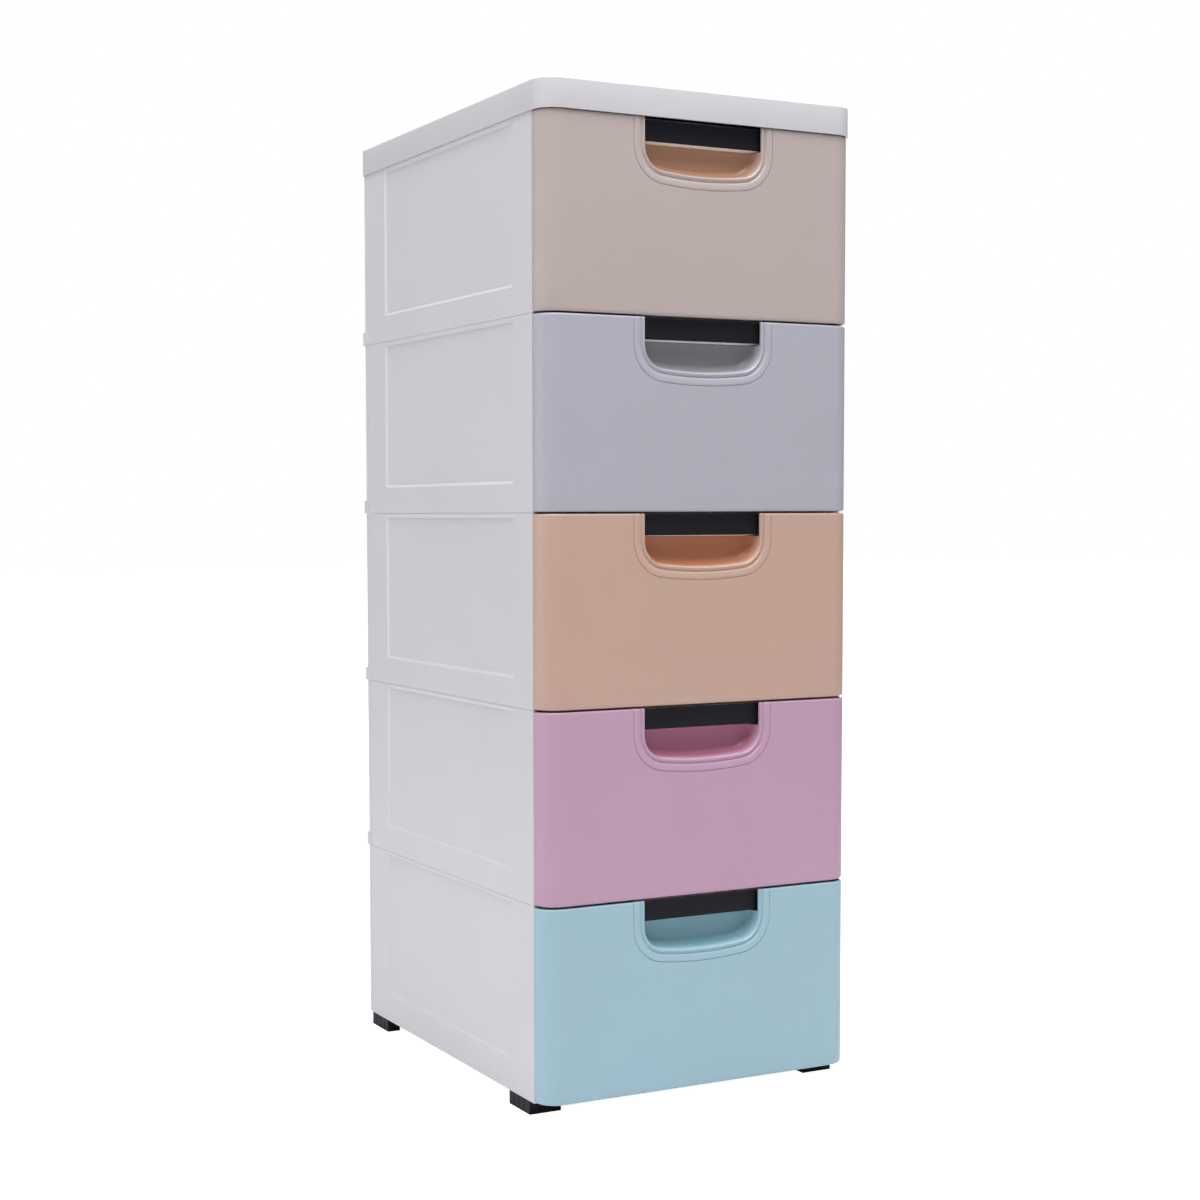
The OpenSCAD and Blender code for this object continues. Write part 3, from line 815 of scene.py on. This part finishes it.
box = {
    "Half Width": 171, "Front": 3.3, "Back": 440, "Corner": 10,
    "Bottom": 5.7, "Top": 172.7, "Wall": 2.2,
    "Edge Rounding": 1.5, "Floor Rounding": 5, "Floor Lap": 5.6,
    # the rim goes outwards along the sides and the back, from Rim Start and fully after Rim Run;
    # Rim Margin is room for error in picking the points in front of it
    "Rim Reach": 3.2, "Rim Height": 2.5, "Rim Start": 23.3, "Rim Run": 3, "Rim Margin": 0.5,
    "Rim Rounding": 0.5, "Lip Rounding": 0.7,
    "Cut Half Width": 79.6, "Cut Low": 139.3, "Cut Depth": 4,
    "Peg Place": 135, "Peg Low": 36, "Peg High": 141.4, "Peg Hole": 3.3, "Hole Length": 12,
    "Tab Place": 100, "Tab Width": 24, "Tab Depth": 4, "Tab Height": 5,
}


def makeBoxTree():
    tree, size = startTree("drawerBox", box)
    plus, minus, times = sums(tree)
    half, front, back, corner = (size[key] for key in ("Half Width", "Front", "Back", "Corner"))
    left = times(half, -1.0)
    start = size["Rim Start"]
    full = plus(start, size["Rim Run"])
    outline = cornerCurve(tree, [
        (left, front, corner), (half, front, corner), (half, start, 0.0), (half, full, 0.0),
        (half, back, corner), (left, back, corner), (left, full, 0.0), (left, start, 0.0)], True, 8)
    inner = times(size["Wall"], -1.0)
    floor = plus(size["Bottom"], size["Wall"])
    end = minus(inner, size["Floor Lap"])
    under = minus(size["Top"], size["Rim Height"])
    reach, top, bottom = (size[key] for key in ("Rim Reach", "Top", "Bottom"))
    soft = size["Rim Rounding"]
    section = cornerCurve(tree, [
        (end, floor, 0.0), (inner, floor, size["Floor Rounding"]), (inner, top, soft),
        (reach, top, size["Lip Rounding"]), (reach, under, soft), (0.0, under, soft),
        (0.0, bottom, size["Edge Rounding"]), (end, bottom, 0.0)], False, 4)
    ring = swept(tree, outline, section)
    # the rim starts behind the front's wrap
    spot = made(tree, "GeometryNodeInputPosition")
    x, y, z = addNode(tree, "ShaderNodeSeparateXYZ", {0: spot}).outputs
    near = calc(tree, "LESS_THAN", y, plus(start, size["Rim Margin"]))
    heldX = calc(tree, "MINIMUM", calc(tree, "MAXIMUM", x, left), half)
    held = vector(tree, heldX, calc(tree, "MAXIMUM", y, front), z)
    ring = made(tree, "GeometryNodeSetPosition", {0: ring, "Selection": near, "Position": held})
    shell = closedEnds(tree, ring, floor, bottom)
    cutHalf = size["Cut Half Width"]
    cuts = [block(
        tree, (times(cutHalf, -1.0), 0.0, size["Cut Low"]),
        (cutHalf, plus(front, size["Cut Depth"]), plus(top, pastFace)))]
    for side in (-1.0, 1.0):
        for height in (size["Peg Low"], size["Peg High"]):
            hole = made(tree, "GeometryNodeMeshCylinder", {
                "Vertices": 24, "Radius": size["Peg Hole"], "Depth": size["Hole Length"]})
            cuts.append(made(tree, "GeometryNodeTransform", {
                0: hole, "Rotation": (math.pi / 2, 0, 0),
                "Translation": vector(tree, times(size["Peg Place"], side), front, height)}))
    parts = [cutAway(tree, shell, cuts)]
    for side in (-1.0, 1.0):
        middle = times(size["Tab Place"], side)
        halfTab = times(size["Tab Width"], 0.5)
        parts.append(block(
            tree, (minus(middle, halfTab), minus(back, size["Tab Depth"]), under),
            (plus(middle, halfTab), minus(back, flushGap), plus(top, size["Tab Height"]))))
    return finishTree(tree, parts, size["Finish"])


cover = {
    "Half Width": 186.5, "Front": -1.5, "Back": 461.5, "Front Corner": 23.5, "Rear Corner": 6.5,
    "Height": 30.5, "Wall": 2.5, "Edge": 2.5, "Foot Rounding": 0.3, "Ceiling Rounding": 0.8,
    # Sink is how far ribs and posts go into the ceiling
    "Rib Depth": 14, "Rib Place": 150, "Sink": 0.5,
    "Post Inset": 7, "Post Front": 60.3, "Post Rear": 425, "Post Foot": 3.3, "Post Radius": 4.6,
    "Peg Radius": 2.6, "Peg Length": 8, "Peg Top": 6,
}


def makeCoverTree():
    tree, size = startTree("topCover", cover)
    plus, minus, times = sums(tree)
    half, front, back = (size[key] for key in ("Half Width", "Front", "Back"))
    left = times(half, -1.0)
    outline = cornerCurve(tree, [
        (left, front, size["Front Corner"]), (half, front, size["Front Corner"]),
        (half, back, size["Rear Corner"]), (left, back, size["Rear Corner"])], True, 14)
    inner = times(size["Wall"], -1.0)
    ceiling = minus(size["Height"], size["Wall"])
    end = times(size["Wall"], -2.0)
    height, soft = size["Height"], size["Foot Rounding"]
    section = cornerCurve(tree, [
        (end, height, 0.0), (0.0, height, size["Edge"]), (0.0, 0.0, soft), (inner, 0.0, soft),
        (inner, ceiling, size["Ceiling Rounding"]), (end, ceiling, 0.0)], False, 6)
    ring = swept(tree, outline, section)
    parts = [closedEnds(tree, ring, height, ceiling)]
    ribLow = minus(height, size["Rib Depth"])
    sunk = plus(ceiling, size["Sink"])
    # the ribs go into the walls by a fifth of their thickness
    inside = minus(half, times(size["Wall"], 0.8))
    for y in (size["Rib Place"], minus(plus(front, back), size["Rib Place"])):
        parts.append(block(
            tree, (times(inside, -1.0), y, ribLow), (inside, plus(y, size["Wall"]), sunk)))
    post = minus(half, size["Post Inset"])
    for x in (times(post, -1.0), post):
        for y in (size["Post Front"], size["Post Rear"]):
            parts.append(upright(tree, x, y, size["Post Foot"], sunk, size["Post Radius"]))
            parts.append(upright(
                tree, x, y, times(size["Peg Length"], -1.0), size["Peg Top"], size["Peg Radius"]))
    return finishTree(tree, parts, size["Finish"])


panel = {
    "Front": 23.3, "Back": 446.7, "Height": 197.4, "Thickness": 5, "Seam": seamGap, "Skirt": 0,
    "Field Front": 45, "Field Rear": 51, "Field Low": 31, "Field Top": 3.5,
    "Field Depth": 2, "Field Bevel": 3,
    "Lap": 2.5, "Shelf": 3.3, "Half Width": 185,
    "Column Front": 60.3, "Column Rear": 425, "Column Inset": 5.5, "Column Radius": 4.5,
    "Peg Radius": 2.6, "Peg Length": 8, "Tongue": 13, "Tongue Wall": 2.5, "Fit": 0.3,
}


def makePanelTree():
    # built as the left panel; the outer face is at X = -Half Width
    tree, size = startTree("sidePanel", panel)
    plus, minus, times = sums(tree)
    face = times(size["Half Width"], -1.0)
    back = plus(face, size["Thickness"])
    top = minus(size["Height"], size["Seam"])
    lowEnd = times(size["Skirt"], -1.0)
    plate = block(tree, (face, size["Front"], plus(lowEnd, size["Seam"])), (back, size["Back"], top))
    # the field's cutter: a block whose outer end is wider all round
    low = [minus(face, intoPart), plus(size["Front"], size["Field Front"]), size["Field Low"]]
    high = [
        plus(face, size["Field Depth"]), minus(size["Back"], size["Field Rear"]),
        minus(size["Height"], size["Field Top"])]
    inset = times(size["Field Bevel"], 0.5)
    for i in (1, 2):
        low[i] = plus(low[i], inset)
        high[i] = minus(high[i], inset)
    cutter = block(tree, low, high)
    spot = made(tree, "GeometryNodeInputPosition")
    x, y, z = addNode(tree, "ShaderNodeSeparateXYZ", {0: spot}).outputs
    outside = calc(tree, "LESS_THAN", x, face)
    slope = times(size["Field Bevel"], plus(1.0, calc(tree, "DIVIDE", intoPart, size["Field Depth"])))
    spread = []
    for value, i in ((y, 1), (z, 2)):
        middle = times(plus(low[i], high[i]), 0.5)
        spread.append(times(calc(tree, "SIGN", minus(value, middle)), slope))
    cutter = made(tree, "GeometryNodeSetPosition", {
        0: cutter, "Selection": outside, "Offset": vector(tree, 0.0, *spread)})
    rebate = block(
        tree, (plus(face, size["Lap"]), 0.0, minus(lowEnd, intoPart)),
        (plus(back, intoPart), plus(size["Back"], pastFace), size["Shelf"]))
    parts = [cutAway(tree, plate, [cutter, rebate])]
    column = plus(face, size["Column Inset"])
    nearTop = minus(top, flushGap)
    for y in (size["Column Front"], size["Column Rear"]):
        parts.append(upright(tree, column, y, size["Shelf"], nearTop, size["Column Radius"]))
        parts.append(upright(
            tree, column, y, minus(lowEnd, size["Peg Length"]), plus(size["Shelf"], intoPart),
            size["Peg Radius"], 24))
    tongueY = minus(size["Back"], times(size["Tongue"], 0.5))
    tongueX = plus(back, size["Fit"])
    tongueEnd = plus(tongueX, size["Tongue Wall"])
    parts.append(block(
        tree, (minus(back, intoPart), tongueY, size["Shelf"]),
        (tongueEnd, minus(size["Back"], flushGap), nearTop)))
    parts.append(block(
        tree, (tongueX, tongueY, size["Shelf"]), (tongueEnd, plus(tongueY, size["Tongue"]), nearTop)))
    return finishTree(tree, parts, size["Finish"])


foot = {
    "Side": 46, "Front": 36, "Arm": 16, "Height": 14.2,
    "Step": 12, "Groove": 1.2, "Depth": 0.8,
    "Fillet": 6, "Arm Rounding": 2, "Tip Rounding": 0.5,
}


def makeFootTree():
    # the outer corner is at the origin; ribs repeat along both outer faces
    tree, size = startTree("foot", foot)
    plus, minus, times = sums(tree)
    depth, step, groove, height = (size[key] for key in ("Depth", "Step", "Groove", "Height"))
    across, along, arm = (size[key] for key in ("Front", "Side", "Arm"))
    soft, tip = size["Arm Rounding"], size["Tip Rounding"]
    outline = cornerCurve(tree, [
        (depth, depth, 0.0), (across, depth, tip), (across, arm, soft),
        (arm, arm, size["Fillet"]), (arm, along, soft), (depth, along, tip)], True, 6)
    plate = made(tree, "GeometryNodeFillCurve", {0: outline}, mode="NGONS")
    core = made(tree, "GeometryNodeExtrudeMesh", {
        0: plate, "Offset": vector(tree, 0.0, 0.0, 1.0), "Offset Scale": height, "Individual": False})
    sole = made(tree, "GeometryNodeFlipFaces", {0: plate})
    joined = made(tree, "GeometryNodeJoinGeometry", {0: [core, sole]})
    parts = [made(tree, "GeometryNodeMergeByDistance", {0: joined, "Distance": treeReach})]
    parts.append(block(tree, (0.0, 0.0, 0.0), (step, step, height)))
    for length, alongX in ((across, True), (along, False)):
        free = minus(length, step)
        count = calc(tree, "ROUND", calc(tree, "DIVIDE", free, step))
        pitch = calc(tree, "DIVIDE", free, count)
        rib = minus(pitch, groove)
        first = plus(plus(step, groove), times(rib, 0.5))
        inward = plus(depth, intoPart)
        middle = times(inward, 0.5)
        tall = times(height, 0.5)
        # each pair is given along the outer face and across it
        start, move, shape = (first, middle), (pitch, 0.0), (rib, inward)
        if not alongX:
            start, move, shape = start[::-1], move[::-1], shape[::-1]
        line = made(tree, "GeometryNodeMeshLine", {
            "Count": count, "Start Location": vector(tree, *start, tall),
            "Offset": vector(tree, *move)}, mode="OFFSET")
        cube = made(tree, "GeometryNodeMeshCube", {"Size": vector(tree, *shape, height)})
        ribs = made(tree, "GeometryNodeInstanceOnPoints", {0: line, "Instance": cube})
        parts.append(made(tree, "GeometryNodeRealizeInstances", {0: ribs}))
    return finishTree(tree, parts, size["Finish"])


boxTree = makeBoxTree()
panelTree = makePanelTree()
coverTree = makeCoverTree()
footTree = makeFootTree()

# widths of the softened edges
softWidth = {
    "box": 0.4, "bar": 0.3, "strip": 0.3, "panel": 0.35, "plate": 0.5, "cover": 0.3, "foot": 0.3,
}

for k in drawers:
    colourName = colourNames[k - 1]
    finish = finishes[colourName + "Box"]
    level = tierTop(k) - tierHeight() * mm
    mesh = bakedMesh(f"drawerBox{k}", boxTree, box, finish, level)
    piece = addPiece(
        f"drawer_box_{k}_shell", mesh, finish, f"drawer_{k}",
        [f"drawer_box_{k}"])
    softenEdges(piece, softWidth["box"])
    dressedCopy(f"grip_bar_{k}", finishes["cream"], softWidth["bar"])
    dressedCopy(f"grip_strip_{k}", finishes["black"], softWidth["strip"])
print("drawer boxes ready")

for k in drawers:
    level = tierTop(k) - tierHeight() * mm
    for side in ("left", "right"):
        node = f"{side}_panel_{k}"
        skirt = (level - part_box(node)[0].z) / mm - panel["Peg Length"]
        mesh = bakedMesh(
            f"{side}Panel{k}", panelTree, {**panel, "Skirt": skirt}, finishes["white"], level,
            mirrored=side == "right")
        piece = addPiece(node + "_shell", mesh, finishes["white"], "frame", [node])
        softenEdges(piece, softWidth["panel"])
    dressedCopy(f"back_panel_{k}", finishes["white"], softWidth["plate"])
mesh = bakedMesh("topCover", coverTree, cover, finishes["cover"], tierTop(1) + seamGap * mm)
piece = addPiece("top_cover_shell", mesh, finishes["cover"], "frame", ["top_cover"])
softenEdges(piece, softWidth["cover"])
for node in ("top_frame", "shelf_1", "shelf_2", "shelf_3", "shelf_4", "base_frame"):
    dressedCopy(node, finishes["white"], softWidth["plate"])
print("panels, shelves and cover ready")

for node in ("foot_front_left", "foot_front_right", "foot_rear_left", "foot_rear_right"):
    low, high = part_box(node)
    onLeft, inFront = low.x < 0, low.y < 0
    spans = {"Front": (high.x - low.x) / mm, "Side": (high.y - low.y) / mm, "Height": high.z / mm}
    mesh = bakedMesh(node + "Mesh", footTree, {**foot, **spans}, finishes["black"], 0)
    for vertex in mesh.vertices:
        x, y = vertex.co.x, vertex.co.y - faceY
        vertex.co.x = low.x + x if onLeft else high.x - x
        vertex.co.y = low.y + y if inFront else high.y - y
    if onLeft != inFront:
        mesh.flip_normals()
    piece = addPiece(node + "_shell", mesh, finishes["black"], "frame", [node])
    softenEdges(piece, softWidth["foot"])
print("feet ready")
